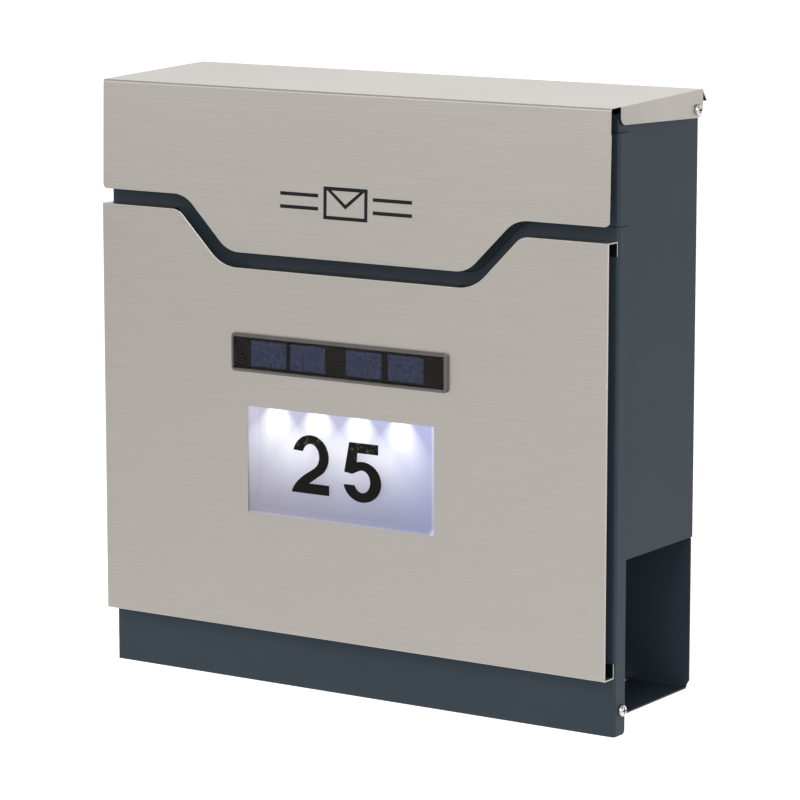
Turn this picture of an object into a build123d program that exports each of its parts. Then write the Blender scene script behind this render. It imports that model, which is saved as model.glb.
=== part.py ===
from build123d import *
import os

# Wall mounted mailbox with a lifting lid, a bottom-hinged door, an open newspaper slot and a
# solar-lit house number. Sizes are in millimetres.
#
# The origin is the centre of the four wall holes, on the wall: +Y points into the wall, +Z up,
# and the front faces -Y. Places are given as x, depth and height: depth runs back from the
# stainless front face, and height runs up from the lower edge of the door.

os.makedirs("parts", exist_ok=True)

# ------------------------------------------------------------------ driving dimensions
WALL_DEPTH = 120.0  # wall plane behind the stainless front
HOLE_HEIGHT = 190.0  # centre of the wall holes above the door's lower edge
HOLE_X = 140.0  # half the spacing of the wall holes
HOLE_RISE = 60.0  # half their vertical spacing
HOLE_R = 3.0

COAT = 1.0  # powder-coated sheet
STEEL = 0.8  # stainless sheet
RIVET_R = 1.5

HALF_FRONT = 185.0  # half width of door, fascia and lid
HALF_SKIN = 184.4  # half width of the stainless front
HALF_BODY = 183.0  # outer faces of the side panels
BODY_IN = HALF_BODY - COAT  # their inner faces

DOOR = 11.0  # front face of the door
DOOR_BACK = 23.3  # rear edge of its side flanges
SEAM = 0.45  # gap between door and fascia
DOOR_TOP = 305.3  # door's upper edge at the sides
DOOR_DIP = 271.9  # and in the middle
FASCIA_TOP = 360.0

BODY_FRONT = 13.2  # front flanges of the side panels
BODY_REAR = 108.0
BODY_TOP = 372.0
SLOT_TOP = 105.0  # upper edge of the newspaper opening in the sides
STRIP_BACK = 25.0  # rear edge of the strip in front of that opening
BACK_FRONT = 106.0  # front face of the back panel
BACK_TOP = 357.0  # its upper edge beside the lid's hinge nuts
UPSTAND_HALF = 176.0  # half width of its part between those nuts
UPSTAND_TOP = 372.0
BACK_LOW_HALF = 182.8  # half width of the back sheet below the side panels
INSIDE_HALF = BODY_IN - 0.2  # half width of sheets fitted between the side panels
TRAY = 9.8  # underside of the newspaper tray
TRAY_FRONT = 19.6
HALF_TRAY = 181.0
TRAY_FLANGE_HALF = 176.0  # half width of its front flange below the hinge nuts

DOOR_PIVOT = (19.1, 15.1)  # depth and height of the door's hinge axis
LID_PIVOT = (103.5, 366.7)  # depth and height of the lid's hinge axis
SHANK_R = 2.0  # M4 hinge screws
PIVOT_HOLE_R = 2.06  # running fit in the moving flanges

LID_TOP = 375.1  # lid's front bend
LID_REAR = (110.0, 378.9)  # depth and height of its rear bend
LID_LIP = (115.4, 371.8)  # tip of its rear lip
FLAP_LEAN = 2.5  # how far the front bend lies behind the flap's lower edge
FLAP_SIDE = 306.5  # flap's lower edge at the sides
FLAP_DIP = 273.2  # and in the middle
FLAP_START = FLAP_DIP - 5  # where the sheet of the flap is drawn from
LID_FLANGE = 11.6  # front edge of the lid's side flanges

SKIN_BASE = 35.9  # stainless front, lower edge
SKIN_SIDE = 297.2  # its upper edge at the sides
SKIN_DIP = 263.7  # and in the middle
HEM_BACK = 10.8  # rear face of the folded hems
HEM_LIP = 9.0

DIP_R = 20.0  # bend radius of the dipping outlines

UNIT_X = -4.5  # centre line of the light unit
UNIT_HALF = 76.0  # half width of its housing
UNIT_LOW = 105.5
UNIT_HIGH = 226.5
UNIT_FRONT = 1.0
UNIT_BACK = 26.0
UNIT_WALL = 1.6
UNIT_GAP = 1.5  # clearance in the door's cut-out

LOCK_HEIGHT = 300.0
PLUG_R = 6.0
CAM_DEPTH = 22.4
CAM_SCREW_R = 1.6


# ------------------------------------------------------------------ planes and shared shapes
def front_plane(depth):
    """Plane facing the street: local x is X, local y is height."""
    return Plane(origin=(0, depth - WALL_DEPTH, -HOLE_HEIGHT), x_dir=(1, 0, 0), z_dir=(0, -1, 0))


def side_plane(x):
    """Plane facing +X: local x is depth, local y is height."""
    return Plane(origin=(x, -WALL_DEPTH, -HOLE_HEIGHT), x_dir=(0, 1, 0), z_dir=(1, 0, 0))


def top_plane(height):
    """Plane facing up: local x is X, local y is depth."""
    return Plane(origin=(0, -WALL_DEPTH, height - HOLE_HEIGHT), x_dir=(1, 0, 0), z_dir=(0, 0, 1))


def spot(x, depth, height, facing=(0, -1, 0)):
    """A place with its local +Z along facing."""
    return Plane(origin=(x, depth - WALL_DEPTH, height - HOLE_HEIGHT), z_dir=facing).location


def slab(x, depth, height, mode=Mode.ADD):
    """A flat block between pairs of limits, in the builder that is open."""
    middle = (sum(x) / 2, sum(depth) / 2 - WALL_DEPTH, sum(height) / 2 - HOLE_HEIGHT)
    with Locations(middle):
        Box(abs(x[1] - x[0]), depth[1] - depth[0], height[1] - height[0], mode=mode)


def about(centre, half):
    """The pair of limits half each side of centre."""
    return (centre - half, centre + half)


def rod(place, radius, length, mode=Mode.ADD):
    """A round bar that starts at a place and runs along its local +Z."""
    with Locations(place):
        Cylinder(radius, length, align=(Align.CENTER, Align.CENTER, Align.MIN), mode=mode)


def dip_points(side, dip, upper_x, lower_x, reach=HALF_FRONT):
    """An edge that is level at the sides and dips to a lower level run in the middle."""
    left = [(-reach, side), (-upper_x, side), (-lower_x, dip)]
    right = [(-x, height) for x, height in reversed(left)]
    return left + right


SEAM_LINE = dip_points(DOOR_TOP, DOOR_DIP, 121.5, 88.5)
FASCIA_LINE = dip_points(DOOR_TOP + SEAM, DOOR_DIP + SEAM, 121.5, 88.5)
FLAP_LINE = dip_points(FLAP_SIDE, FLAP_DIP, 120.5, 87.5, HALF_FRONT + 5)
SKIN_LINE = dip_points(SKIN_SIDE, SKIN_DIP, 125, 92, HALF_SKIN)


def folded_channel(low, high):
    """Front sheet with both side flanges folded back, between two heights."""
    with BuildPart() as channel:
        with BuildSketch(top_plane(low)):
            with BuildLine():
                FilletPolyline(
                    (-HALF_FRONT, DOOR_BACK), (-HALF_FRONT, DOOR),
                    (HALF_FRONT, DOOR), (HALF_FRONT, DOOR_BACK), radius=2,
                )
                offset(amount=COAT, side=Side.LEFT)
            make_face()
        extrude(amount=high - low)
    return channel.part


def pan_screw(head_r, head_h, shank_r, length):
    """A pan head screw with a cross recess: head above its place, shank below it."""
    with BuildPart() as screw:
        rod(Location((0, 0, 0)), head_r, head_h)
        fillet(screw.edges().sort_by(Axis.Z)[-1], head_h * 0.75)
        with Locations((0, 0, head_h)):
            Box(head_r * 1.15, head_r * 0.26, head_h, mode=Mode.SUBTRACT)
            Box(head_r * 0.26, head_r * 1.15, head_h, mode=Mode.SUBTRACT)
        with Locations((0, 0, -length / 2)):
            Cylinder(shank_r, length)
        chamfer(screw.faces().sort_by(Axis.Z)[0].edges(), shank_r * 0.25)
    return screw.part


def hex_nut(across, height, bore_r):
    """A hexagon nut standing above its place."""
    with BuildPart() as nut:
        with BuildSketch():
            RegularPolygon(across / 2, 6, major_radius=False)
            Circle(bore_r, mode=Mode.SUBTRACT)
        extrude(amount=height)
    return nut.part


def blind_rivet(front, back, head_r=2.8):
    """A domed rivet along the depth: its heads lie in front of one depth and behind the other."""
    with BuildPart() as rivet:
        rod(spot(0, back, HOLE_HEIGHT), RIVET_R, back - front)
        rod(spot(0, front, HOLE_HEIGHT), head_r, 0.9)
        rod(spot(0, back, HOLE_HEIGHT, (0, 1, 0)), head_r, 0.9)
    return rivet.part


def save(piece, name):
    """Label a finished piece and write its STEP file."""
    piece.part.label = name
    export_step(piece.part, f"parts/{name}.step")


# ------------------------------------------------------------------ body: coated sheets
with BuildPart() as back_panel:
    # tray with its front flange and the bend up into the back sheet
    with BuildSketch(side_plane(-HALF_TRAY)):
        with BuildLine():
            FilletPolyline(
                (TRAY_FRONT, 30), (TRAY_FRONT, TRAY), (BACK_FRONT + COAT, TRAY), (BACK_FRONT + COAT, 14),
                radius=2,
            )
            offset(amount=COAT, side=Side.LEFT)
        make_face()
    extrude(amount=2 * HALF_TRAY)
    # back sheet: flush with the outer faces below the side panels, between them above
    with BuildSketch(front_plane(BACK_FRONT + COAT)):
        with BuildLine():
            edge = [
                (HALF_TRAY, 12), (BACK_LOW_HALF, 15), (BACK_LOW_HALF, SLOT_TOP - 0.5),
                (INSIDE_HALF, SLOT_TOP - 0.5), (INSIDE_HALF, BACK_TOP),
                (UPSTAND_HALF, BACK_TOP), (UPSTAND_HALF, UPSTAND_TOP),
            ]
            Polyline(*edge, *[(-x, height) for x, height in reversed(edge)], close=True)
        make_face()
    extrude(amount=COAT)
    # room for the hinge nuts
    for hand in (-1, 1):
        nut_room = (hand * TRAY_FLANGE_HALF, hand * (HALF_TRAY + 1))
        slab(nut_room, (TRAY_FRONT - 1, 24), (TRAY - 1, 31), Mode.SUBTRACT)
    # wide part of the front flange, tacked to the side strips above the hinge nuts
    slab(about(0, INSIDE_HALF), (TRAY_FRONT, TRAY_FRONT + COAT), (27, 44))
    # drain slots beside the rear bend
    with BuildSketch(top_plane(TRAY - 1)):
        with Locations((-127, 101.5), (0, 101.5), (127, 101.5)):
            SlotOverall(30, 5)
    extrude(amount=3, mode=Mode.SUBTRACT)
    for x in (-HOLE_X, HOLE_X):
        for rise in (-HOLE_RISE, HOLE_RISE):
            rod(spot(x, BACK_FRONT - 1, HOLE_HEIGHT + rise, (0, 1, 0)), HOLE_R, 3, Mode.SUBTRACT)
save(back_panel, "back_panel")


FASCIA_RIVETS = [(x, height) for x in (-177, 177) for height in (318, 346)]


def side_panel(hand):
    """A coated side sheet: hand is 1 on the right and -1 on the left."""
    with BuildPart() as panel:
        with BuildSketch(side_plane(hand * BODY_IN)):
            with BuildLine():
                Polyline(
                    (BODY_FRONT, DOOR_PIVOT[1]), (BODY_FRONT, BODY_TOP), (BODY_REAR, BODY_TOP),
                    (BODY_REAR, SLOT_TOP), (STRIP_BACK, SLOT_TOP), (STRIP_BACK, DOOR_PIVOT[1]),
                    close=True,
                )
            make_face()
            with Locations(DOOR_PIVOT):
                Circle(STRIP_BACK - DOOR_PIVOT[0])
        extrude(amount=hand * COAT)
        slab((hand * 172, hand * HALF_BODY), (BODY_FRONT, BODY_FRONT + COAT), (48, 371))
        slab((hand * 172, hand * HALF_BODY), (BODY_REAR - COAT, BODY_REAR), (SLOT_TOP, 353))
        outer = panel.edges().filter_by(Axis.Z).group_by(Axis.X)[-1 if hand > 0 else 0]
        fillet(outer.sort_by(Edge.length)[-1], 0.9)
        for depth, height in (DOOR_PIVOT, LID_PIVOT):
            rod(spot(hand * (BODY_IN - 1), depth, height, (hand, 0, 0)), SHANK_R + 0.1, 3, Mode.SUBTRACT)
        for x, height in FASCIA_RIVETS:
            rod(spot(x, BODY_FRONT + 2, height), RIVET_R, 4, Mode.SUBTRACT)
    return panel


side_panel_right = side_panel(1)
save(side_panel_right, "side_panel_right")

side_panel_left = side_panel(-1)
save(side_panel_left, "side_panel_left")

fascia_sheet = folded_channel(DOOR_DIP + SEAM, FASCIA_TOP)
with BuildPart() as upper_fascia:
    add(fascia_sheet)
    # lower edge, parallel to the door's upper edge
    with BuildSketch(front_plane(DOOR - 2)):
        with BuildLine():
            FilletPolyline(*FASCIA_LINE, radius=DIP_R)
            Polyline(FASCIA_LINE[-1], (HALF_FRONT, 260), (-HALF_FRONT, 260), FASCIA_LINE[0])
        make_face()
    extrude(amount=-20, mode=Mode.SUBTRACT)
    # rain edge folded back over the letter slot's front
    slab(about(0, 171.5), (DOOR, 24), (FASCIA_TOP - COAT, FASCIA_TOP))
    slab(about(0, 171.5), (24 - COAT, 24), (352, FASCIA_TOP))
    rod(spot(0, DOOR + 2, LOCK_HEIGHT), 9.0, 4, Mode.SUBTRACT)
    for x, height in FASCIA_RIVETS:
        rod(spot(x, DOOR + 2, height), RIVET_R, 4, Mode.SUBTRACT)
save(upper_fascia, "upper_fascia")

with BuildPart() as fascia_strips:
    for hand in (-1, 1):
        slab((hand * 172.5, hand * 181.5), (DOOR + COAT, BODY_FRONT), (309, 355))
    for x, height in FASCIA_RIVETS:
        rod(spot(x, DOOR + 4, height), RIVET_R, 6, Mode.SUBTRACT)
save(fascia_strips, "fascia_strips")

fascia_rivet = blind_rivet(DOOR, BODY_FRONT + COAT)
with BuildPart() as fascia_rivets:
    with Locations(*[(x, 0, height - HOLE_HEIGHT) for x, height in FASCIA_RIVETS]):
        add(fascia_rivet)
save(fascia_rivets, "fascia_rivets")

with BuildPart() as slot_baffle:
    slab(about(0, BODY_IN - 0.1), (58, BACK_FRONT), (357, 358))
    slab(about(0, BODY_IN - 0.1), (58, 59), (342, 358))
    slab(about(0, BODY_IN - 0.1), (BACK_FRONT - COAT, BACK_FRONT), (345, 358))
save(slot_baffle, "slot_baffle")

FLOOR = 105.8
with BuildPart() as compartment_floor:
    slab(about(0, BODY_IN - 0.1), (BODY_FRONT + 1.2, BACK_FRONT), (FLOOR, FLOOR + COAT))
    slab(about(0, 171.5), (BODY_FRONT + 1.2, BODY_FRONT + 2.2), (FLOOR, 124))
    slab(about(0, BODY_IN - 0.1), (BACK_FRONT - COAT, BACK_FRONT), (FLOOR, 118))
    for hand in (-1, 1):
        slab((hand * (BODY_IN - 1.1), hand * (BODY_IN - 0.1)), (BODY_FRONT + 1.2, BACK_FRONT), (FLOOR, 118))
    # recess that the light unit's housing swings out of
    slab(about(UNIT_X, 92), (BODY_FRONT, 34), (FLOOR - 1, 130), Mode.SUBTRACT)
save(compartment_floor, "compartment_floor")

with BuildPart() as wall_spacers:
    for x in (-HOLE_X, HOLE_X):
        for rise in (-HOLE_RISE, HOLE_RISE):
            place = spot(x, BACK_FRONT + COAT, HOLE_HEIGHT + rise, (0, 1, 0))
            rod(place, 8, WALL_DEPTH - BACK_FRONT - COAT)
            rod(place, HOLE_R, WALL_DEPTH - BACK_FRONT - COAT, Mode.SUBTRACT)
save(wall_spacers, "wall_spacers")

# ------------------------------------------------------------------ hinge hardware and stops
HEAD_SEAT = HALF_FRONT + 0.2


def hinge_screws(pivot, head_r):
    """The pair of M4 screws on a hinge axis."""
    screw = pan_screw(head_r, 2.2, SHANK_R, 7.2)
    with BuildPart() as pair:
        for hand in (-1, 1):
            with Locations(spot(hand * HEAD_SEAT, *pivot, (hand, 0, 0))):
                add(screw)
    return pair


def hinge_nuts(pivot):
    """The pair of nuts inside the side panels."""
    nut = hex_nut(7, 3.2, SHANK_R)
    with BuildPart() as pair:
        for hand in (-1, 1):
            with Locations(spot(hand * BODY_IN, *pivot, (-hand, 0, 0))):
                add(nut)
    return pair


def hinge_washers(pivot, thickness):
    """The pair of plastic washers between side panel and flange."""
    with BuildPart() as pair:
        for hand in (-1, 1):
            place = spot(hand * HALF_BODY, *pivot, (hand, 0, 0))
            rod(place, 4.5, thickness)
            rod(place, SHANK_R, thickness, Mode.SUBTRACT)
    return pair


for hinge, pivot, head_r, washer in (("door", DOOR_PIVOT, 3.65, 0.9), ("lid", LID_PIVOT, 3.4, 1.1)):
    save(hinge_screws(pivot, head_r), f"{hinge}_hinge_screws")
    save(hinge_nuts(pivot), f"{hinge}_hinge_nuts")
    save(hinge_washers(pivot, washer), f"{hinge}_hinge_washers")

with BuildPart() as lid_bumpers:
    # rubber clips over the side panels' upper edges
    for hand in (-1, 1):
        slab((hand * 181.0, hand * 183.8), (20, 34), (365, 374.7))
        slab((hand * BODY_IN, hand * HALF_BODY), (19, 35), (364, BODY_TOP), Mode.SUBTRACT)
    fillet(lid_bumpers.edges().filter_by(Axis.Y).group_by(Axis.Z)[-1], 0.8)
save(lid_bumpers, "lid_bumpers")

with BuildPart() as door_bumpers:
    # rubber pads on the front flanges
    for x in (-177, 177):
        for height in (130, 285):
            rod(spot(x, BODY_FRONT, height), 4, 1.0)
    fillet(door_bumpers.edges().filter_by(GeomType.CIRCLE).group_by(Axis.Y)[0], 0.4)
save(door_bumpers, "door_bumpers")

# ------------------------------------------------------------------ cam lock in the fascia
with BuildPart() as lock_body:
    rod(spot(0, DOOR, LOCK_HEIGHT), 11, 3)
    fillet(lock_body.edges().group_by(Axis.Y)[0], 0.8)
    rod(spot(0, 21.5, LOCK_HEIGHT), 8.9, 10.5)
    rod(spot(0, 22, LOCK_HEIGHT), PLUG_R + 0.05, 16, Mode.SUBTRACT)
save(lock_body, "lock_body")

lock_hexagon = hex_nut(24, 4, 8.9)
with BuildPart() as lock_nut:
    with Locations(spot(0, DOOR + COAT, LOCK_HEIGHT, (0, 1, 0))):
        add(lock_hexagon)
save(lock_nut, "lock_nut")

with BuildPart() as lock_plug:
    rod(spot(0, CAM_DEPTH, LOCK_HEIGHT), PLUG_R, CAM_DEPTH - 7.6)
    chamfer(lock_plug.edges().group_by(Axis.Y)[0], 0.4)
    slab(about(0, 0.8), (7, 17), about(LOCK_HEIGHT, 3.6), Mode.SUBTRACT)
    slab(about(0, 3), (CAM_DEPTH, CAM_DEPTH + 2), about(LOCK_HEIGHT, 3))
    rod(spot(0, CAM_DEPTH + 2, LOCK_HEIGHT), CAM_SCREW_R, 6, Mode.SUBTRACT)
save(lock_plug, "lock_plug")

CAM_REACH = 36.0
with BuildPart() as lock_cam:
    with BuildSketch(front_plane(CAM_DEPTH + 2)):
        with Locations((0, LOCK_HEIGHT)):
            Circle(9)
        with Locations((CAM_REACH / 2, LOCK_HEIGHT)):
            Rectangle(CAM_REACH, 12)
        with Locations((CAM_REACH, LOCK_HEIGHT)):
            Circle(6)
        with Locations((0, LOCK_HEIGHT)):
            Rectangle(6, 6, mode=Mode.SUBTRACT)
    extrude(amount=2)
save(lock_cam, "lock_cam")

cam_screw = pan_screw(4.5, 2.4, CAM_SCREW_R, 5)
with BuildPart() as lock_cam_screw:
    with Locations(spot(0, CAM_DEPTH + 2, LOCK_HEIGHT, (0, 1, 0))):
        add(cam_screw)
save(lock_cam_screw, "lock_cam_screw")

# ------------------------------------------------------------------ lid
LID_SLOPE = (LID_REAR[1] - LID_TOP) / (LID_REAR[0] - FLAP_LEAN)


def lid_height(depth):
    """Height of the middle of the lid's top sheet at a depth."""
    return LID_TOP + (depth - FLAP_LEAN) * LID_SLOPE - STEEL / 2


with BuildPart() as lid:
    # flap, top and rear lip in one folded sheet
    with BuildSketch(side_plane(-HALF_FRONT)):
        with BuildLine():
            FilletPolyline((0, FLAP_START), (FLAP_LEAN, LID_TOP), LID_REAR, LID_LIP, radius=1.6)
            offset(amount=STEEL, side=Side.RIGHT)
        make_face()
    extrude(amount=2 * HALF_FRONT)
    # corner relief beside the side flanges
    for hand in (-1, 1):
        relief = (hand * (HALF_FRONT - STEEL), hand * (HALF_FRONT + 1))
        slab(relief, (-1, LID_FLANGE), (FLAP_START - 5, LID_TOP + 5), Mode.SUBTRACT)
    # lower edge of the flap
    with BuildSketch(front_plane(-2)):
        with BuildLine():
            FilletPolyline(*FLAP_LINE, radius=DIP_R)
            Polyline(FLAP_LINE[-1], (HALF_FRONT + 5, 250), (-HALF_FRONT - 5, 250), FLAP_LINE[0])
        make_face()
    extrude(amount=-8, mode=Mode.SUBTRACT)
    low_edges = lid.edges().filter_by(lambda e: abs(e.center().Z - FLAP_SIDE + HOLE_HEIGHT) < 0.5)
    fillet(low_edges.filter_by(lambda e: e.length < 1 and abs(e.center().X) > HALF_FRONT - STEEL - 0.01), 3)
    # side flanges, rounded at the front and about the hinge screws
    for hand in (-1, 1):
        with BuildSketch(side_plane(hand * (HALF_FRONT - STEEL))):
            with BuildLine():
                FilletPolyline(
                    (LID_FLANGE, lid_height(LID_FLANGE)), (LID_FLANGE, 364.9),
                    (110.6, 361.6), (110.6, 376), radius=[6, 7],
                )
                Polyline(
                    (110.6, 376), (LID_REAR[0], lid_height(LID_REAR[0])),
                    (LID_FLANGE, lid_height(LID_FLANGE)),
                )
            make_face()
        extrude(amount=hand * STEEL)
        rod(spot(hand * (HALF_FRONT - 2), *LID_PIVOT, (hand, 0, 0)), PIVOT_HOLE_R, 4, Mode.SUBTRACT)
save(lid, "lid")

ICON_HEIGHT = 308.0
ICON_LINE = 2.2
ICON_FILM = 0.15
flap_rise = (ICON_HEIGHT - FLAP_START) / (LID_TOP - FLAP_START)
flap_face = Plane(
    origin=(0, flap_rise * FLAP_LEAN - WALL_DEPTH, ICON_HEIGHT - HOLE_HEIGHT),
    x_dir=(1, 0, 0),
    z_dir=(0, FLAP_START - LID_TOP, FLAP_LEAN),
)
with BuildPart() as mail_icon:
    # envelope outline with its folded flap, between two pairs of bars
    with BuildSketch(flap_face):
        Rectangle(32, 20)
        Rectangle(32 - 2 * ICON_LINE, 20 - 2 * ICON_LINE, mode=Mode.SUBTRACT)
        with BuildLine():
            Polyline((-16, 10), (-13.2, 10), (0, -0.4), (13.2, 10), (16, 10), (0, -3.1), close=True)
        make_face()
        for hand in (-1, 1):
            with Locations((hand * 34, 4), (hand * 34, -4)):
                Rectangle(28, ICON_LINE)
    extrude(amount=ICON_FILM)
save(mail_icon, "mail_icon")

# ------------------------------------------------------------------ door
SKIN_RIVETS = [(x, 40) for x in (-150, 0, 150)]
SKIN_RIVETS += [(x, SKIN_SIDE - 4.4) for x in (-155, 155)]
SKIN_RIVETS += [(x, SKIN_DIP - 4.4) for x in (-50, 50)]
STRIKE_RIVETS = [(x, 244) for x in (-7, 7)]
UNIT_SCREWS = [(UNIT_X + hand * 82, height) for hand in (-1, 1) for height in (125, 205)]

door_sheet = folded_channel(0, DOOR_TOP)
with BuildPart() as door_panel:
    add(door_sheet)
    with BuildSketch(front_plane(DOOR - 2)):
        with BuildLine():
            FilletPolyline(*SEAM_LINE, radius=DIP_R)
            Polyline(SEAM_LINE[-1], (HALF_FRONT, 320), (-HALF_FRONT, 320), SEAM_LINE[0])
        make_face()
    extrude(amount=-5, mode=Mode.SUBTRACT)
    # rounded lower corners of the flanges
    rear_edges = door_panel.edges().filter_by(lambda e: e.center().Y > DOOR_BACK - WALL_DEPTH - 1)
    fillet(rear_edges.filter_by(Axis.X).group_by(Axis.Z)[0], 2.5)
    for hand in (-1, 1):
        rod(spot(hand * (HALF_FRONT - 2), *DOOR_PIVOT, (hand, 0, 0)), PIVOT_HOLE_R, 4, Mode.SUBTRACT)
    # cut-out for the light unit
    slab(
        about(UNIT_X, UNIT_HALF + UNIT_GAP), (DOOR - 1, DOOR + 2),
        (UNIT_LOW - UNIT_GAP, UNIT_HIGH + UNIT_GAP), Mode.SUBTRACT,
    )
    for x, height in SKIN_RIVETS + STRIKE_RIVETS + UNIT_SCREWS:
        rod(spot(x, DOOR + 2, height), RIVET_R, 4, Mode.SUBTRACT)
save(door_panel, "door_panel")

WINDOW_X = (-73.1, 64.4)
WINDOW_Z = (110.4, 177.6)
BEZEL_X = (UNIT_X - 79.4, UNIT_X + 79.4)
BEZEL_Z = (199.2, 223.2)


def inset(limits, amount):
    """A pair of limits drawn in by amount at each end."""
    return (limits[0] + amount, limits[1] - amount)


def hem(x, edge, inward):
    """A hem folded back from a level edge: inward is 1 above a lower edge, -1 below an upper one."""
    slab(x, (0, HEM_BACK), sorted((edge, edge + inward * STEEL)))
    slab(x, (HEM_BACK - STEEL, HEM_BACK), sorted((edge, edge + inward * HEM_LIP)))


with BuildPart() as front_panel:
    with BuildSketch(front_plane(STEEL)):
        with BuildLine():
            FilletPolyline(*SKIN_LINE, radius=[12, 26, 26, 12])
            Polyline(SKIN_LINE[-1], (HALF_SKIN, SKIN_BASE), (-HALF_SKIN, SKIN_BASE), SKIN_LINE[0])
        make_face()
    extrude(amount=STEEL)
    hem(about(0, HALF_SKIN), SKIN_BASE, 1)
    hem((-HALF_SKIN, -132), SKIN_SIDE, -1)
    hem((132, HALF_SKIN), SKIN_SIDE, -1)
    hem(about(0, 78), SKIN_DIP, -1)
    # round every bend and the front's outline
    fillet(front_panel.faces().sort_by(Axis.Y)[0].outer_wire().edges(), 0.6)
    slab(WINDOW_X, (-1, 2), WINDOW_Z, Mode.SUBTRACT)
    slab(inset(BEZEL_X, 3.6), (-1, 2), inset(BEZEL_Z, 3.6), Mode.SUBTRACT)
    for x, height in SKIN_RIVETS:
        rod(spot(x, HEM_BACK + 1, height), RIVET_R, 3, Mode.SUBTRACT)
save(front_panel, "front_panel")

skin_rivet = blind_rivet(HEM_BACK - STEEL, DOOR + COAT)
with BuildPart() as panel_rivets:
    with Locations(*[(x, 0, height - HOLE_HEIGHT) for x, height in SKIN_RIVETS]):
        add(skin_rivet)
save(panel_rivets, "panel_rivets")

STRIKE = 1.2
with BuildPart() as lock_strike:
    # foot on the door, shelf below the cam's tip, wall behind the cam
    slab(about(0, 13), (DOOR + COAT, DOOR + COAT + STRIKE), (236, 253))
    slab(about(0, 13), (DOOR + COAT, 27), (253 - STRIKE, 253))
    slab(about(0, 13), (27 - STRIKE, 27), (253 - STRIKE, 270))
    fillet(lock_strike.edges().filter_by(Axis.Y).group_by(Axis.Z)[0], 0.4)
    for x, height in STRIKE_RIVETS:
        rod(spot(x, DOOR + 4, height), RIVET_R, 4, Mode.SUBTRACT)
save(lock_strike, "lock_strike")

strike_rivet = blind_rivet(DOOR, DOOR + COAT + STRIKE, head_r=2.6)
with BuildPart() as strike_rivets:
    with Locations(*[(x, 0, height - HOLE_HEIGHT) for x, height in STRIKE_RIVETS]):
        add(strike_rivet)
save(strike_rivets, "strike_rivets")

# ------------------------------------------------------------------ solar strip
with BuildPart() as solar_bezel:
    slab(BEZEL_X, (-2.5, 0), BEZEL_Z)
    fillet(solar_bezel.edges().filter_by(Axis.Y), 2.5)
    chamfer(solar_bezel.faces().sort_by(Axis.Y)[0].edges(), 1.2, 0.9)
    slab(inset(BEZEL_X, 2), (-2.5, -0.5), inset(BEZEL_Z, 2), Mode.SUBTRACT)
    # hollow collar through the skin
    slab(inset(BEZEL_X, 4), (0, 3.2), inset(BEZEL_Z, 4))
    slab(inset(BEZEL_X, 5.5), (0, 3.2), inset(BEZEL_Z, 5.5), Mode.SUBTRACT)
save(solar_bezel, "solar_bezel")

with BuildPart() as solar_board:
    slab(inset(BEZEL_X, 2.2), (-1.4, -0.5), inset(BEZEL_Z, 2.2))
save(solar_board, "solar_board")

CELLS = [(-68.6, -42.6), (-39.3, -13.5), (1.8, 27.6), (32.4, 58.0)]
with BuildPart() as solar_cells:
    for cell in CELLS:
        slab(cell, (-1.65, -1.4), (203.3, 219.2))
save(solar_cells, "solar_cells")

with BuildPart() as solar_cover:
    slab(inset(BEZEL_X, 2.1), (-2.3, -1.7), inset(BEZEL_Z, 2.1))
save(solar_cover, "solar_cover")

# ------------------------------------------------------------------ number window and its light
PANE_X = about(UNIT_X, 71.5)
PANE_Z = (107.6, 180.0)
PANE_FRONT = 0.9
PANE_BACK = 2.9

with BuildPart() as number_window:
    slab(PANE_X, (PANE_FRONT, PANE_BACK), PANE_Z)
save(number_window, "number_window")

TWO_BASE = 126.8  # heights of the digits' feet
FIVE_BASE = 125.4
DIGIT_FILM = 0.3

with BuildPart() as house_digits:
    # numeral two: a round head, a sweeping stroke and a level foot
    with BuildSketch(front_plane(PANE_FRONT)):
        with BuildLine():
            head = CenterArc((-26, TWO_BASE + 23.4), 13.3, 166, -216)
            cup = EllipticalCenterArc((-26, TWO_BASE + 23.5), 6.3, 7.8, -30, arc_size=190)
            foot = [(-27.3, 6.4), (-12.45, 6.4), (-12.45, 0), (-40.4, 0)]
            Polyline(head @ 1, *[(x, TWO_BASE + rise) for x, rise in foot])
            stroke = [(-26.4, 14.3), (-36.6, 6.5), (-40.4, 0)]
            stroke = [(x, TWO_BASE + rise) for x, rise in stroke]
            Spline(cup @ 0, *stroke, tangents=[cup % 0 * -1, (-0.3, -1)])
            Line(head @ 0, cup @ 1)
        make_face()
    extrude(amount=DIGIT_FILM)
    # numeral five: a level bar, a leaning back and a round bowl
    with BuildSketch(front_plane(PANE_FRONT)):
        with BuildLine():
            outer = EllipticalCenterArc((12, FIVE_BASE + 12.65), 13.9, 12.65, -168.8, arc_size=275.5)
            inner = EllipticalCenterArc((11.9, FIVE_BASE + 12.9), 6, 7, -158.2, arc_size=270.2)
            Line(outer @ 0, inner @ 0)
            back = [(4.75, 17.2), (-1.15, 17.95), (2.55, 36.8)]
            back += [(23.7, 36.8), (23.7, 30.5), (8.4, 30.5)]
            Polyline(inner @ 1, *[(x, FIVE_BASE + rise) for x, rise in back], outer @ 1)
        make_face()
    extrude(amount=DIGIT_FILM)
save(house_digits, "house_digits")

with BuildPart() as reflector:
    # white tray behind the pane, open at the top below the lamps
    slab(PANE_X, (PANE_BACK + 0.1, 10.2), (107.6, 178.2))
    with BuildSketch(front_plane(PANE_BACK)):
        with Locations((UNIT_X, 145)):
            Rectangle(141, 72)
    extrude(amount=-6.2, taper=35, mode=Mode.SUBTRACT)
save(reflector, "reflector")

LAMP_PITCH = 30.5
LAMPS = [-56 + LAMP_PITCH * lamp for lamp in range(4)]
with BuildPart() as led_board:
    slab(about(UNIT_X, 68), (3.6, 9.8), (180.2, 181.4))
save(led_board, "led_board")

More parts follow.
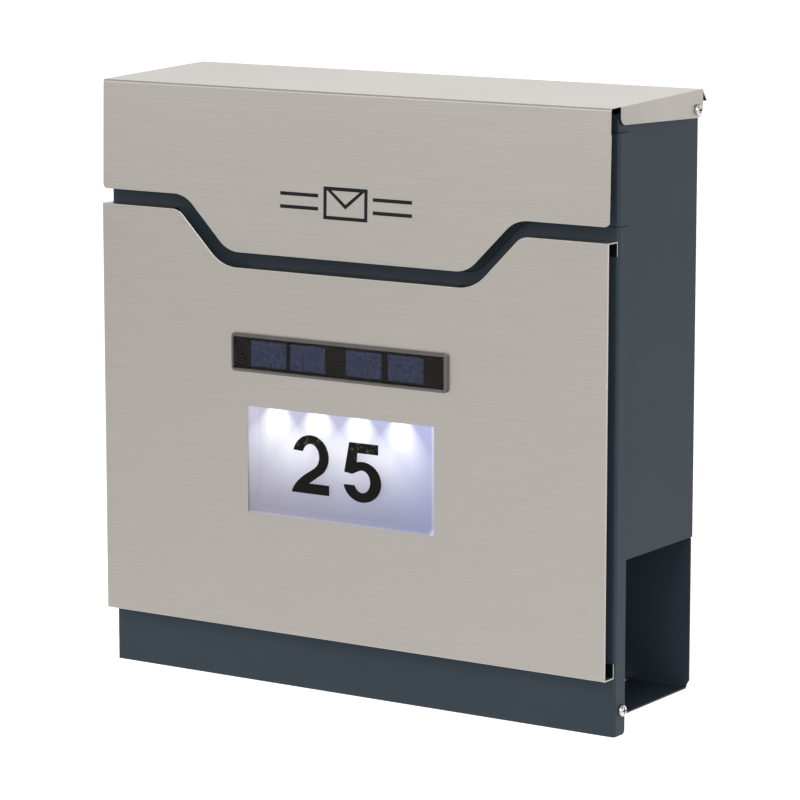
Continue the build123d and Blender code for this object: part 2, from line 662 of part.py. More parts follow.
with BuildPart() as leds:
    for x in LAMPS:
        slab(about(x, 1.75), (5.0, 7.8), (178.6, 180.2))
save(leds, "leds")

# ------------------------------------------------------------------ light unit's housing
UNIT_OUTER = about(UNIT_X, UNIT_HALF)
UNIT_INNER = inset(UNIT_OUTER, UNIT_WALL)
BATTERY_HEIGHT = 205.0

with BuildPart() as light_housing:
    slab(UNIT_OUTER, (UNIT_FRONT, UNIT_BACK), (UNIT_LOW, UNIT_HIGH))
    fillet(light_housing.edges().filter_by(Axis.Y), 2)
    # chamber for pane, reflector and lamps
    slab(UNIT_INNER, (UNIT_FRONT, 10.4), (107.1, 181.6), Mode.SUBTRACT)
    # seat of the solar strip's collar
    slab(inset(BEZEL_X, 3.7), (UNIT_FRONT, 3.4), inset(BEZEL_Z, 3.7), Mode.SUBTRACT)
    # rear chambers for circuit and batteries
    slab(UNIT_INNER, (12, UNIT_BACK), (107.1, 182.4), Mode.SUBTRACT)
    slab(UNIT_INNER, (5, UNIT_BACK), (184, 224.9), Mode.SUBTRACT)
    # ears behind the door
    for hand in (-1, 1):
        for height in (125, 205):
            ear = (UNIT_X + hand * (UNIT_HALF - 0.8), UNIT_X + hand * (UNIT_HALF + 11))
            slab(ear, (DOOR + COAT + 0.2, 14.4), about(height, 6))
    for x, height in UNIT_SCREWS:
        rod(spot(x, 15, height), RIVET_R, 4, Mode.SUBTRACT)
save(light_housing, "light_housing")

unit_screw = pan_screw(2.8, 1.8, 1.5, 5.2)
with BuildPart() as housing_screws:
    for x, height in UNIT_SCREWS:
        with Locations(spot(x, 14.4, height, (0, 1, 0))):
            add(unit_screw)
save(housing_screws, "housing_screws")

COVER_X = about(UNIT_X, 54)
COVER_Z = about(BATTERY_HEIGHT, 12)
SWITCH_X = 30.0
SWITCH_Z = 135.0
SWITCH_TRAVEL = 3.0

with BuildPart() as housing_back:
    slab(UNIT_OUTER, (UNIT_BACK, 27.6), (UNIT_LOW, UNIT_HIGH))
    fillet(housing_back.edges().filter_by(Axis.Y), 2)
    # locating rim inside the housing
    slab(inset(UNIT_INNER, 0.15), (24.5, UNIT_BACK), (184.2, 224.7))
    slab(inset(UNIT_INNER, 1.5), (24.5, UNIT_BACK), (185.5, 223.4), Mode.SUBTRACT)
    slab(inset(COVER_X, -0.2), (24, 28), inset(COVER_Z, -0.2), Mode.SUBTRACT)
    slab((SWITCH_X - 3, SWITCH_X + SWITCH_TRAVEL + 3), (24, 28), about(SWITCH_Z, 2.2), Mode.SUBTRACT)
save(housing_back, "housing_back")

with BuildPart() as battery_cover:
    slab(COVER_X, (UNIT_BACK + 0.1, 27.6), COVER_Z)
    for rib in range(5):
        x = UNIT_X - 44 + rib * 3.5
        slab((x, x + 1.2), (27.6, 28.1), inset(COVER_Z, 5))
    rod(spot(UNIT_X + 47, 28, BATTERY_HEIGHT), 1.2, 3, Mode.SUBTRACT)
save(battery_cover, "battery_cover")

cover_screw = pan_screw(2.4, 1.2, 1.2, 3.2)
with BuildPart() as battery_cover_screw:
    with Locations(spot(UNIT_X + 47, 27.6, BATTERY_HEIGHT, (0, 1, 0))):
        add(cover_screw)
save(battery_cover_screw, "battery_cover_screw")

BATTERY_R = 5.25
BATTERY_LONG = 43.6
BATTERY_DEPTH = 19.0
TROUGH_HALF = 48.5

with BuildPart() as battery_holder:
    slab(about(UNIT_X, TROUGH_HALF), (12.4, 24.2), about(BATTERY_HEIGHT, 7))
    slab(about(UNIT_X, TROUGH_HALF - 1.2), (13.6, 24.2), about(BATTERY_HEIGHT, 5.7), Mode.SUBTRACT)
    slab(about(UNIT_X + TROUGH_HALF - 4, 6), (5, 12.4), about(BATTERY_HEIGHT, 4))
    slab(about(UNIT_X - TROUGH_HALF + 4, 6), (5, 12.4), about(BATTERY_HEIGHT, 4))
save(battery_holder, "battery_holder")

with BuildPart() as batteries:
    # two AAA cells end to end, each with its raised contact
    for x in (UNIT_X - BATTERY_LONG - 1.0, UNIT_X):
        rod(spot(x, BATTERY_DEPTH, BATTERY_HEIGHT, (1, 0, 0)), BATTERY_R, BATTERY_LONG)
        rod(spot(x + BATTERY_LONG, BATTERY_DEPTH, BATTERY_HEIGHT, (1, 0, 0)), 1.9, 0.9)
    rims = batteries.edges().filter_by(GeomType.CIRCLE)
    fillet(rims.filter_by(lambda e: e.radius > BATTERY_R - 0.01), 0.4)
save(batteries, "batteries")

with BuildPart() as battery_contacts:
    left_wall = UNIT_X - TROUGH_HALF + 1.2
    right_wall = UNIT_X + TROUGH_HALF - 1.2
    slab((left_wall, left_wall + 0.4), (14, 24), about(BATTERY_HEIGHT, 4.5))
    slab((right_wall - 0.4, right_wall), (14, 24), about(BATTERY_HEIGHT, 4.5))
    # bowed springs that press on the cells
    rod(spot(left_wall + 0.4, BATTERY_DEPTH, BATTERY_HEIGHT, (1, 0, 0)), 2.6, 2.0)
    rod(spot(right_wall - 2.2, BATTERY_DEPTH, BATTERY_HEIGHT, (1, 0, 0)), 1.6, 1.8)
save(battery_contacts, "battery_contacts")

with BuildPart() as control_board:
    slab((-58, 48), (14, 15.6), (112, 178))
    for x in (-54, 44):
        for height in (116, 174):
            rod(spot(x, 14, height), 2.5, 2)
save(control_board, "control_board")

with BuildPart() as board_components:
    slab(about(-20, 4.5), (15.6, 17.2), about(150, 3))
    slab(about(-38, 3), (15.6, 18.6), about(132, 3))
    rod(spot(-2, 15.6, 130, (0, 1, 0)), 3.2, 7)
    rod(spot(12, 15.6, 152, (0, 1, 0)), 2.5, 6)
    for step in range(5):
        slab(about(-44 + step * 5, 1.0), (15.6, 16.2), about(166, 0.6))
    # body of the on and off switch, under its slider
    slab(about(SWITCH_X + SWITCH_TRAVEL / 2, 6), (15.6, 22), about(SWITCH_Z, 4))
save(board_components, "board_components")

with BuildPart() as switch_slider:
    slab(about(SWITCH_X, 5.5), (22.6, 25.6), about(SWITCH_Z, 3.4))
    slab(about(SWITCH_X, 2.7), (25.6, 28.6), about(SWITCH_Z, 1.9))
    fillet(switch_slider.edges().filter_by(Axis.Z).group_by(Axis.Y)[-1], 0.5)
save(switch_slider, "switch_slider")
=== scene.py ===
import math

import bpy
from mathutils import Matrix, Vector


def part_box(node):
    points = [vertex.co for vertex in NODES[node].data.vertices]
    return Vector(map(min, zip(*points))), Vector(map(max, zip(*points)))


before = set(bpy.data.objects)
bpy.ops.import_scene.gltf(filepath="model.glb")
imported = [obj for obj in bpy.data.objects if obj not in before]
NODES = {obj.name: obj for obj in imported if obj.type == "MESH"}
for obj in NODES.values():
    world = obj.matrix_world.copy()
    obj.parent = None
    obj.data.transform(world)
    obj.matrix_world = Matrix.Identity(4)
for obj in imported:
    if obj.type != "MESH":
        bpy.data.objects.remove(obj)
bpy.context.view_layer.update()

# ------------------------------------------------------------------ places taken from the frame
FRONT_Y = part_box("front_panel")[0].y  # front face of the stainless sheet
FASCIA_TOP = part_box("upper_fascia")[1].z
DIGIT_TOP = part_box("house_digits")[1].z
CELL_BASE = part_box("solar_cells")[0].z
PANE_LOW, PANE_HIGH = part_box("number_window")
LAMPS_LOW, LAMPS_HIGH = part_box("leds")
LAMP_COUNT = 4
LAMP_WIDTH = 0.0035
LAMP_PITCH = (LAMPS_HIGH.x - LAMPS_LOW.x - LAMP_WIDTH) / (LAMP_COUNT - 1)

# ------------------------------------------------------------------ camera
# Azimuth and elevation are those of the photograph; the target is a point inside the box.
AZIMUTH = math.radians(33.19)
ELEVATION = math.radians(9.73)
TARGET = Vector((0.0074, -0.070, -0.0084))
DISTANCE = 2.3637
LENS = 171.52

away = Vector((
    math.sin(AZIMUTH) * math.cos(ELEVATION),
    -math.cos(AZIMUTH) * math.cos(ELEVATION),
    math.sin(ELEVATION),
))
camera_data = bpy.data.cameras.new("camera")
camera_data.sensor_width = 36.0
camera_data.lens = LENS
camera_data.clip_end = 100.0
camera = bpy.data.objects.new("camera", camera_data)
camera.location = TARGET + away * DISTANCE
camera.rotation_euler = (-away).to_track_quat("-Z", "Y").to_euler()
bpy.context.scene.collection.objects.link(camera)
bpy.context.scene.camera = camera
bpy.context.scene.view_settings.view_transform = "Standard"

# ------------------------------------------------------------------ node helpers
WHITE = (1.0, 1.0, 1.0)
MOST_NOISE = (0.3, 0.7)  # the range that noise mostly keeps to, stretched for a soft contrast
CORE_NOISE = (0.35, 0.65)  # a narrower one, for a stronger contrast


class Nodes:
    """A node tree, of a material or of the world, and short ways to add to it."""

    def __init__(self, tree):
        self.tree = tree

    def node(self, kind, **settings):
        made = self.tree.nodes.new(kind)
        for key, value in settings.items():
            setattr(made, key, value)
        return made

    def join(self, source, target):
        self.tree.links.new(source, target)

    def axes(self, vector):
        """The X, Y and Z of a vector, each a source."""
        split = self.node("ShaderNodeSeparateXYZ")
        self.join(vector, split.inputs[0])
        return tuple(split.outputs)

    def spread(self, source, low, high, from_low=0.0, from_high=1.0):
        """A number mapped to low..high from from_low..from_high, clamped."""
        change = self.node("ShaderNodeMapRange")
        self.join(source, change.inputs["Value"])
        limits = {"From Min": from_low, "From Max": from_high, "To Min": low, "To Max": high}
        for socket, value in limits.items():
            change.inputs[socket].default_value = value
        return change.outputs["Result"]

    def math(self, operation, *values):
        """Arithmetic on sources or plain numbers."""
        step = self.node("ShaderNodeMath", operation=operation)
        for socket, value in zip(step.inputs, values):
            if isinstance(value, (int, float)):
                socket.default_value = value
            else:
                self.join(value, socket)
        return step.outputs[0]

    def plus(self, first, second):
        return self.math("ADD", first, second)

    def times(self, first, second):
        return self.math("MULTIPLY", first, second)


class Paint(Nodes):
    """A material under construction; a keyword sets the shader socket of that name."""

    def __init__(self, name, **sockets):
        self.material = bpy.data.materials.new(name)
        self.material.use_nodes = True
        super().__init__(self.material.node_tree)
        self.shader = self.tree.nodes["Principled BSDF"]
        self.place = self.node("ShaderNodeTexCoord").outputs["Object"]
        for socket, value in sockets.items():
            socket = "Specular IOR Level" if socket == "Specular" else socket.replace("_", " ")
            self.shader.inputs[socket].default_value = value

    def feed(self, socket, source):
        """Links a source to one of the shader's sockets."""
        self.join(source, self.shader.inputs[socket])

    def stretched(self, *scale):
        """The place on the piece, scaled along each axis."""
        mapping = self.node("ShaderNodeMapping")
        mapping.inputs["Scale"].default_value = scale
        self.join(self.place, mapping.inputs["Vector"])
        return mapping.outputs["Vector"]

    def noise(self, scale, detail=4.0, roughness=0.55, where=None):
        """Noise of a scale per metre; detail is how many finer layers it has."""
        texture = self.node("ShaderNodeTexNoise")
        texture.inputs["Scale"].default_value = scale
        texture.inputs["Detail"].default_value = detail
        texture.inputs["Roughness"].default_value = roughness
        self.join(where or self.place, texture.inputs["Vector"])
        return texture.outputs["Fac"]

    def blend(self, factor, first, second, kind="RGBA"):
        """A colour, or with kind VECTOR a vector, between two; each is a colour or a source."""
        mix = self.node("ShaderNodeMix", data_type=kind)
        self.join(factor, mix.inputs["Factor"])
        sockets = [i for i in mix.inputs if i.type == kind and i.name != "Factor"]
        for socket, value in zip(sockets, (first, second)):
            if isinstance(value, tuple):
                socket.default_value = (*value, 1.0)
            else:
                self.join(value, socket)
        return [o for o in mix.outputs if o.type == kind][0]

    def bump(self, height, distance, strength):
        """Relief: the distance in metres that a height of 1 stands for, and how much it shows."""
        relief = self.node("ShaderNodeBump")
        relief.inputs["Distance"].default_value = distance
        relief.inputs["Strength"].default_value = strength
        self.join(height, relief.inputs["Height"])
        self.feed("Normal", relief.outputs["Normal"])


def dress(material, *nodes):
    """Gives CAD nodes their material."""
    for name in nodes:
        mesh = NODES[name].data
        mesh.materials.clear()
        mesh.materials.append(material)


# ------------------------------------------------------------------ metals
GRAIN_ALONG, GRAIN_ACROSS = 14, 2400  # how fine the brushed grain is, per metre
INNER_SIDE_Y = FRONT_Y + 0.005  # a face that looks forward behind this is the sheet's inner side
CORNER_Y = FRONT_Y + 0.012  # the cut-outs at the lid's front corners lie in front of this
LOOKS_FORWARD, LOOKS_DOWN, LOOKS_SIDEWAYS = -0.3, -0.5, 0.7  # limits on Y, Z and X of a normal


def painted_inner_shade(p, normal, sideways):
    """Painted shade mask: 1 on the inner side of the stainless sheet and on the cut edges of the lid's
    corners, where shade falls.
    """
    _, y, z = p.axes(p.place)
    forward = p.math("LESS_THAN", normal[1], LOOKS_FORWARD)
    wall = p.times(p.math("GREATER_THAN", y, INNER_SIDE_Y), forward)
    high = p.math("GREATER_THAN", z, FASCIA_TOP)
    roof = p.times(high, p.math("LESS_THAN", normal[2], LOOKS_DOWN))
    corner = p.times(p.times(high, p.math("LESS_THAN", y, CORNER_Y)), sideways)
    return p.math("MAXIMUM", p.math("MAXIMUM", wall, roof), corner)


def brushed_stainless():
    """Sheet with a grain along X, or along Z on the parts folded to face sideways."""
    p = Paint("brushed_stainless", Metallic=1.0, Anisotropic=0.55, Anisotropic_Rotation=0.25)
    normal = p.axes(p.node("ShaderNodeTexCoord").outputs["Normal"])
    sideways = p.math("GREATER_THAN", p.math("ABSOLUTE", normal[0]), LOOKS_SIDEWAYS)
    level_grain = p.stretched(GRAIN_ALONG, GRAIN_ACROSS, GRAIN_ACROSS)
    upright_grain = p.stretched(GRAIN_ACROSS, GRAIN_ACROSS, GRAIN_ALONG)
    where = p.blend(sideways, level_grain, upright_grain, "VECTOR")
    fine = p.noise(1.0, 3.0, 0.6, where)
    broad = p.noise(0.22, 2.0, 0.5, where)
    grain = p.plus(p.times(fine, 0.92), p.times(broad, 0.08))
    cloud = p.noise(7.0, 2.0)
    darker, lighter, shade_black = (0.490, 0.458, 0.425), (0.542, 0.510, 0.474), (0.012, 0.012, 0.014)
    tone = p.blend(p.spread(grain, 0, 1, *MOST_NOISE), darker, lighter)
    # painted shade: darkens the sheet's inner side and the cut edges at the lid's corners, where shade
    # falls
    inner_shade = painted_inner_shade(p, normal, sideways)
    p.feed("Base Color", p.blend(inner_shade, tone, shade_black))
    rough = p.plus(p.spread(grain, 0.33, 0.39, *MOST_NOISE), p.spread(cloud, -0.02, 0.03))
    p.feed("Roughness", p.plus(rough, p.times(inner_shade, 0.2)))
    p.feed("Tangent", p.node("ShaderNodeTangent", direction_type="RADIAL", axis="X").outputs[0])
    p.bump(grain, 0.00003, 0.2)
    return p.material


def plated(name, light, dark, rough, speck=900.0):
    """A plated metal with a slightly mottled finish."""
    p = Paint(name, Metallic=1.0)
    mottle = p.noise(speck)
    p.feed("Base Color", p.blend(p.spread(mottle, 0, 1, *CORE_NOISE), dark, light))
    p.feed("Roughness", p.spread(mottle, rough - 0.06, rough + 0.10, *MOST_NOISE))
    p.bump(p.noise(speck * 2.5, 3.0), 0.00002, 0.3)
    return p.material


RECESS_DEPTH = 0.0006  # painted shade: the cross recess is dark below this depth in the head
RECESS_RADIUS = 0.0023
RIM_START, RIM_END = 0.0022, 0.0038  # painted shade: the head darkens towards its rim between these radii


def recessed_screw(name, screws):
    """Bright plating with painted shade in the cross recess and towards the rim, for a node whose
    screws share one axis.
    """
    p = Paint(name, Metallic=1.0, Roughness=0.16)
    low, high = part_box(screws)
    x, y, z = p.axes(p.place)
    aside = p.math("SUBTRACT", y, (low.y + high.y) / 2)
    above = p.math("SUBTRACT", z, (low.z + high.z) / 2)
    radius = p.math("SQRT", p.plus(p.times(aside, aside), p.times(above, above)))
    # painted shade: the cross recess and the rim of the head are darkened where shade falls
    sunk = p.math("LESS_THAN", p.math("ABSOLUTE", x), high.x - RECESS_DEPTH)
    recess = p.times(sunk, p.math("LESS_THAN", radius, RECESS_RADIUS))
    rim = p.spread(radius, 0.0, 0.55, RIM_START, RIM_END)
    tone = p.blend(rim, (0.70, 0.69, 0.67), (0.30, 0.30, 0.30))
    p.feed("Base Color", p.blend(recess, tone, (0.03, 0.03, 0.03)))
    p.bump(p.noise(2500.0, 2.0), 0.00002, 0.3)
    return p.material


# ------------------------------------------------------------------ coatings and plastics
def powder_coat():
    """Anthracite powder coat: a fine orange peel and light grit under a satin sheen."""
    p = Paint("anthracite_coat", Specular=0.15)
    darker, lighter, grit_tone = (0.025, 0.036, 0.047), (0.029, 0.041, 0.053), (0.044, 0.054, 0.066)
    peel = p.noise(1400.0, 2.0, 0.5)
    drift = p.noise(14.0, 3.0)
    grit = p.spread(p.noise(5200.0, 1.0), 0, 1, 0.62, 0.80)
    tone = p.blend(p.spread(drift, 0, 1, *MOST_NOISE), darker, lighter)
    p.feed("Base Color", p.blend(grit, tone, grit_tone))
    p.feed("Roughness", p.spread(peel, 0.40, 0.52, *MOST_NOISE))
    p.bump(peel, 0.00006, 0.35)
    return p.material


def moulded(name, tone, rough, grain=2600.0, relief=0.00003, **sockets):
    """Moulded plastic or rubber with a fine spark-eroded grain."""
    p = Paint(name, **sockets)
    texture = p.noise(grain, 3.0)
    lighter = tuple(c * 1.18 + 0.002 for c in tone)
    p.feed("Base Color", p.blend(p.spread(p.noise(60.0, 3.0), 0, 1, *CORE_NOISE), tone, lighter))
    p.feed("Roughness", p.spread(texture, rough - 0.05, rough + 0.08, *MOST_NOISE))
    p.bump(texture, relief, 0.4)
    return p.material


DUST_START = DIGIT_TOP - 0.0135  # dust lies on the digits above this height
DUST_FULL = DIGIT_TOP - 0.0015


def dusty_vinyl():
    """Thin black vinyl with a little dust caught on its upper part."""
    p = Paint("digit_vinyl", Specular=0.06)
    black, dust_tone = (0.0075, 0.0065, 0.0062), (0.150, 0.135, 0.115)
    _, _, z = p.axes(p.place)
    patches = p.spread(p.noise(260.0, 5.0, 0.7), 0, 1, 0.52, 0.68)
    upper = p.spread(z, 0.0, 1.0, DUST_START, DUST_FULL)
    dust = p.times(p.times(patches, upper), 0.75)
    p.feed("Base Color", p.blend(dust, black, dust_tone))
    p.feed("Roughness", p.spread(dust, 0.22, 0.7))
    p.bump(p.noise(500.0, 3.0), 0.00003, 0.4)
    return p.material


# ------------------------------------------------------------------ light unit
CONE_TOP = 0.0035  # half width of a lamp's cone of light at the lamp
CONE_SPREAD = 0.42  # how much that grows per metre down
RIM_TOP = 0.0018  # width of the cone's soft rim at the lamp
RIM_SPREAD = 0.50  # how much that grows per metre down
CONE_REACH = 0.070  # how far down the cone fades out
HAZE_REACH = 0.060  # how far down the haze under the lamps fades out
# how strongly each part of the tray's painted light shines
TRAY_LIGHT, CONE_LIGHT, HAZE_LIGHT, WALL_LIGHT = 0.215, 0.66, 0.52, 0.35


def lamp_cones(p, x, depth):
    """The painted light thrown by all lamps at a place x, depth below them."""
    fade = p.math("POWER", p.spread(depth, 1.0, 0.0, 0.0, CONE_REACH), 1.6)
    half_width = p.plus(p.times(depth, CONE_SPREAD), CONE_TOP)
    rim = p.plus(p.times(depth, RIM_SPREAD), RIM_TOP)
    cones = None
    for lamp in range(LAMP_COUNT):
        lamp_x = LAMPS_LOW.x + LAMP_WIDTH / 2 + lamp * LAMP_PITCH
        aside = p.math("ABSOLUTE", p.math("SUBTRACT", x, lamp_x))
        # how far outside the cone, in widths of its rim
        outside = p.math("DIVIDE", p.math("SUBTRACT", aside, half_width), rim)
        beam = p.times(p.spread(outside, 1.0, 0.0, -0.5, 0.9), fade)
        cones = beam if cones is None else p.plus(cones, beam)
    return cones


def lit_reflector():
    """White tray with painted light: each lamp's cone down it and the lavender glow between them are
    painted on as emission.
    """
    p = Paint("reflector_white", Roughness=0.35)
    x, _, z = p.axes(p.place)
    depth = p.math("SUBTRACT", LAMPS_HIGH.z, z)
    cones = lamp_cones(p, x, depth)
    # painted light tint: bluer to the right, greyer to the lower left
    rightward = p.spread(x, 0.0, 1.0, PANE_LOW.x, PANE_HIGH.x)
    wall_tone = p.blend(rightward, (0.27, 0.25, 0.31), (0.20, 0.21, 0.38))
    glow_tone = p.blend(rightward, (0.62, 0.60, 0.74), (0.50, 0.54, 0.86))
    # painted highlight: the folded right and lower walls catch the light
    right_wall = p.spread(x, 0.0, 1.0, PANE_HIGH.x - 0.0100, PANE_HIGH.x - 0.0070)
    low_wall = p.spread(z, 1.0, 0.0, PANE_LOW.z + 0.0020, PANE_LOW.z + 0.0032)
    walls = p.math("MAXIMUM", right_wall, low_wall)
    patches = p.spread(p.noise(18.0, 3.0), -0.04, 0.04)
    haze = p.math("POWER", p.spread(depth, 1.0, 0.0, 0.0, HAZE_REACH), 1.5)
    # painted light: cones, haze and walls set how strongly the tray glows
    level = p.plus(p.times(cones, CONE_LIGHT), p.plus(patches, TRAY_LIGHT))
    level = p.plus(level, p.times(haze, HAZE_LIGHT))
    level = p.plus(level, p.times(walls, WALL_LIGHT))
    lit = p.math("MAXIMUM", p.spread(cones, 0, 1, 0.0, 0.6), p.times(walls, 0.7))
    p.feed("Base Color", wall_tone)
    p.feed("Emission Color", p.blend(lit, glow_tone, (0.95, 0.97, 1.0)))
    p.feed("Emission Strength", level)
    p.bump(p.noise(900.0, 2.0), 0.00002, 0.3)
    return p.material


def glowing(name, tone, strength):
    """A lit lamp."""
    p = Paint(name, Emission_Strength=strength, Roughness=0.3)
    p.feed("Emission Color", p.blend(p.noise(900.0, 2.0), tone, WHITE))
    return p.material


def clear_sheet(name, ior, rough, tint, specular=0.5):
    """A clear moulded sheet with faint flow marks."""
    p = Paint(name, IOR=ior, Transmission_Weight=1.0, Specular=specular)
    p.feed("Base Color", p.blend(p.noise(30.0, 2.0), tint, WHITE))
    p.feed("Roughness", p.spread(p.noise(120.0, 3.0), rough, rough + 0.02))
    p.bump(p.noise(25.0, 2.0), 0.00005, 0.1)
    return p.material


FINGER_SPACING = 0.0016  # between the fine silver lines of a solar cell
BUS_HEIGHT = 0.00486  # of the lower bus line above the cell's base; the upper is three times that


def silicon():
    """Dark blue silicon with fine silver fingers across it and two bus lines."""
    p = Paint("solar_cell", Specular=0.15)
    x, _, z = p.axes(p.place)
    finger_line = p.spread(p.math("PINGPONG", x, FINGER_SPACING / 2), 1.0, 0.0, 0.00004, 0.00016)
    # rises to BUS_HEIGHT at the lower bus line, falls to 0 and rises again at the upper one
    near_bus = p.math("PINGPONG", p.math("SUBTRACT", z, CELL_BASE), BUS_HEIGHT)
    bus_line = p.spread(near_bus, 0.0, 1.0, BUS_HEIGHT - 0.00044, BUS_HEIGHT - 0.00034)
    crystal = p.noise(420.0, 2.0)
    blue = p.blend(p.spread(crystal, 0, 1, *CORE_NOISE), (0.022, 0.026, 0.058), (0.030, 0.036, 0.074))
    with_fingers = p.blend(p.times(finger_line, 0.30), blue, (0.10, 0.11, 0.15))
    p.feed("Base Color", p.blend(p.times(bus_line, 0.10), with_fingers, (0.16, 0.16, 0.19)))
    p.feed("Roughness", p.spread(crystal, 0.22, 0.36, *MOST_NOISE))
    p.bump(finger_line, 0.00001, 0.5)
    return p.material


def printed_board(name, mask, track):
    """Solder mask over faint copper tracks."""
    p = Paint(name)
    grid = p.node("ShaderNodeTexBrick")
    grid.inputs["Scale"].default_value = 260.0
    grid.inputs["Mortar Size"].default_value = 0.03
    upright = p.node("ShaderNodeMapping")
    upright.inputs["Rotation"].default_value = (math.radians(90), 0.0, 0.0)
    p.join(p.place, upright.inputs["Vector"])
    p.join(upright.outputs["Vector"], grid.inputs["Vector"])
    p.feed("Base Color", p.blend(grid.outputs["Fac"], mask, track))
    p.feed("Roughness", p.spread(p.noise(700.0, 2.0), 0.35, 0.5))
    p.bump(grid.outputs["Fac"], 0.00003, 0.5)
    return p.material


def battery_wrap():
    """Shrink sleeve in plain green."""
    p = Paint("battery_wrap", Roughness=0.3)
    p.feed("Base Color", p.blend(p.noise(90.0, 2.0), (0.03, 0.20, 0.08), (0.05, 0.28, 0.12)))
    p.bump(p.noise(1200.0, 2.0), 0.00002, 0.3)
    return p.material


# ------------------------------------------------------------------ which node has which material
dress(brushed_stainless(), "lid", "front_panel")
dress(
    powder_coat(),
    "door_panel", "upper_fascia", "side_panel_left", "side_panel_right", "back_panel",
    "slot_baffle", "compartment_floor", "fascia_strips",
)
dress(
    plated("zinc_plate", light=(0.56, 0.57, 0.58), dark=(0.42, 0.43, 0.45), rough=0.34),
    "fascia_rivets", "panel_rivets", "strike_rivets", "lock_strike", "door_hinge_nuts",
    "lid_hinge_nuts", "lock_nut", "lock_cam", "lock_cam_screw",
)
dress(
    plated("bright_screw", light=(0.74, 0.73, 0.71), dark=(0.60, 0.59, 0.57), rough=0.18, speck=1500.0),
    "housing_screws", "battery_cover_screw",
)
dress(recessed_screw("door_screw", "door_hinge_screws"), "door_hinge_screws")
dress(recessed_screw("lid_screw", "lid_hinge_screws"), "lid_hinge_screws")
dress(
    plated("lock_chrome", light=(0.76, 0.76, 0.76), dark=(0.66, 0.66, 0.67), rough=0.12),
    "lock_body",
)
dress(
    plated("lock_brass", light=(0.62, 0.47, 0.22), dark=(0.50, 0.37, 0.17), rough=0.28),
    "lock_plug",
)
dress(
    plated("spring_plate", light=(0.68, 0.67, 0.64), dark=(0.56, 0.55, 0.52), rough=0.25),
    "battery_contacts",
)
dress(
    moulded("nylon", tone=(0.58, 0.57, 0.53), rough=0.5),
    "door_hinge_washers", "lid_hinge_washers",
)
dress(
    moulded("black_rubber", tone=(0.018, 0.018, 0.018), rough=0.75, grain=1800.0, relief=0.00006),
    "lid_bumpers", "door_bumpers",
)
dress(moulded("spacer_plastic", tone=(0.024, 0.024, 0.026), rough=0.5), "wall_spacers")
dress(
    moulded("housing_plastic", tone=(0.026, 0.026, 0.028), rough=0.46),
    "light_housing", "housing_back", "battery_cover", "battery_holder",
)
dress(
    moulded("bezel_plastic", tone=(0.076, 0.067, 0.063), rough=0.34, grain=3200.0, relief=0.00001),
    "solar_bezel",
)
dress(
    moulded(
        "panel_black", tone=(0.008, 0.0065, 0.0055), rough=0.45, grain=2400.0, relief=0.00002,
        Specular=0.08,
    ),
    "solar_board",
)
dress(
    moulded(
        "black_print", tone=(0.008, 0.008, 0.010), rough=0.5, grain=1500.0, relief=0.00001,
        Specular=0.12,
    ),
    "mail_icon",
)
dress(moulded("switch_plastic", tone=(0.48, 0.48, 0.48), rough=0.42), "switch_slider")
dress(moulded("circuit_white", tone=(0.72, 0.72, 0.70), rough=0.4), "led_board")
dress(moulded("component_black", tone=(0.015, 0.015, 0.016), rough=0.4), "board_components")
dress(silicon(), "solar_cells")
dress(
    clear_sheet("clear_cover", ior=1.12, rough=0.02, tint=(0.97, 0.97, 0.97), specular=0.25),
    "solar_cover",
)
dress(clear_sheet("clear_acrylic", ior=1.49, rough=0.0, tint=(0.985, 0.985, 1.0)), "number_window")
dress(dusty_vinyl(), "house_digits")
dress(lit_reflector(), "reflector")
dress(glowing("led_lens", tone=(1.0, 0.98, 0.92), strength=12.0), "leds")
dress(
    printed_board("circuit_green", mask=(0.012, 0.085, 0.035), track=(0.03, 0.15, 0.06)),
    "control_board",
)
dress(battery_wrap(), "batteries")


# ------------------------------------------------------------------ stage and light
FLOOR_Z = -0.32
FLOOR_SIZE = 40.0
FLOOR_GLOW = 0.64  # how strongly the floor shines where it is not dimmed
RIGHT_DIMMING = 0.34  # how much less it shines on the right, reached between these two X
RIGHT_START, RIGHT_END = 0.35, 1.0
FRONT_DIMMING = 0.58  # and in front, reached between the box's front and this Y
FRONT_END = -0.50
BOX_MIDDLE = Vector((0.0, -0.06, 0.0))


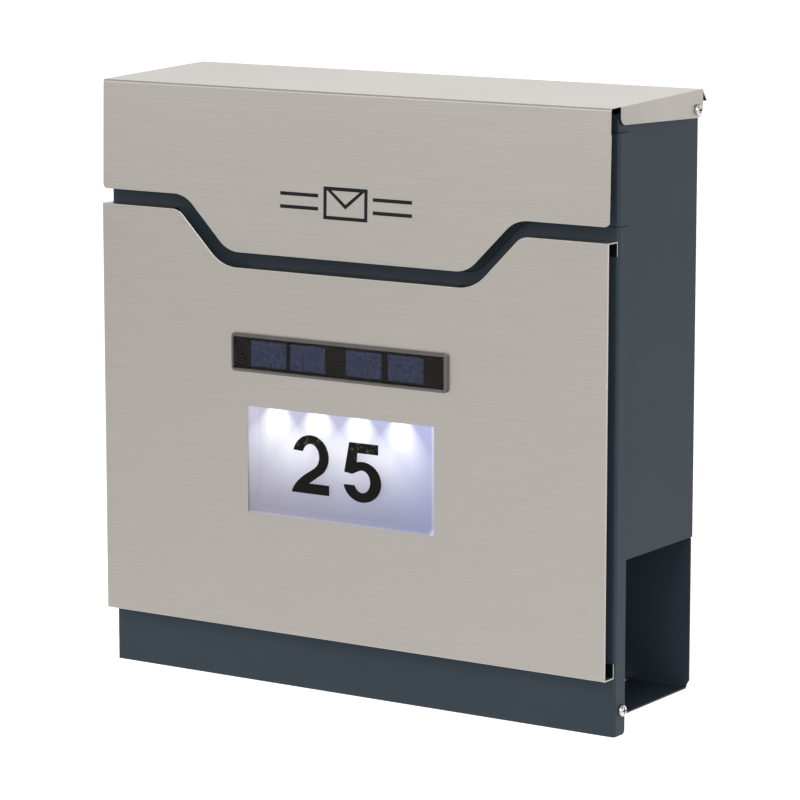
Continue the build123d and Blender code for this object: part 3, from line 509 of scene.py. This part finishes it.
def stage_floor():
    """A plain pale floor with a glow of its own, dimmer in front of the box and to its right."""
    bpy.ops.mesh.primitive_plane_add(size=FLOOR_SIZE, location=(0, 0, FLOOR_Z))
    floor = bpy.context.object
    floor.name = "floor"
    p = Paint("floor_white", Roughness=0.9)
    x, y, _ = p.axes(p.place)
    rightward = p.spread(x, 0.0, RIGHT_DIMMING, RIGHT_START, RIGHT_END)
    forward = p.spread(y, FRONT_DIMMING, 0.0, FRONT_END, FRONT_Y)
    dimmed = p.math("MAXIMUM", rightward, forward)
    p.feed("Emission Strength", p.math("SUBTRACT", FLOOR_GLOW, dimmed))
    p.shader.inputs["Emission Color"].default_value = (*WHITE, 1.0)
    p.shader.inputs["Base Color"].default_value = (0.8, 0.8, 0.8, 1.0)
    floor.data.materials.append(p.material)


def softbox(name, place, size, power):
    """A large soft lamp aimed at the box."""
    data = bpy.data.lights.new(name, "AREA")
    data.shape = "RECTANGLE"
    data.size, data.size_y = size
    data.energy = power
    lamp = bpy.data.objects.new(name, data)
    lamp.location = place
    lamp.rotation_euler = (BOX_MIDDLE - Vector(place)).to_track_quat("-Z", "Y").to_euler()
    bpy.context.scene.collection.objects.link(lamp)


def studio_world():
    """White surroundings, a little brighter behind the box, darker overhead and to the right."""
    world = bpy.data.worlds.new("studio")
    bpy.context.scene.world = world
    world.use_nodes = True
    w = Nodes(world.node_tree)
    background = w.tree.nodes["Background"]
    background.inputs["Color"].default_value = (*WHITE, 1.0)
    # the parts of the direction that each piece of sky lies in, from -1 to 1
    x, y, z = w.axes(w.node("ShaderNodeTexCoord").outputs["Generated"])
    overhead = w.spread(z, low=1.00, high=0.35, from_low=0.35, from_high=0.70)
    behind = w.spread(y, low=1.22, high=1.28, from_low=0.2, from_high=0.8)
    rightward = w.spread(x, low=1.00, high=0.57, from_low=0.3, from_high=0.9)
    w.join(w.times(w.times(overhead, behind), rightward), background.inputs["Strength"])


stage_floor()
studio_world()
softbox("key_softbox", place=(0.5, -2.6, 1.8), size=(1.6, 1.6), power=32.0)
softbox("top_softbox", place=(0.2, -0.4, 2.4), size=(1.8, 1.0), power=10.0)
softbox("edge_strip", place=(2.2, -1.5, 0.35), size=(0.16, 1.5), power=14.0)
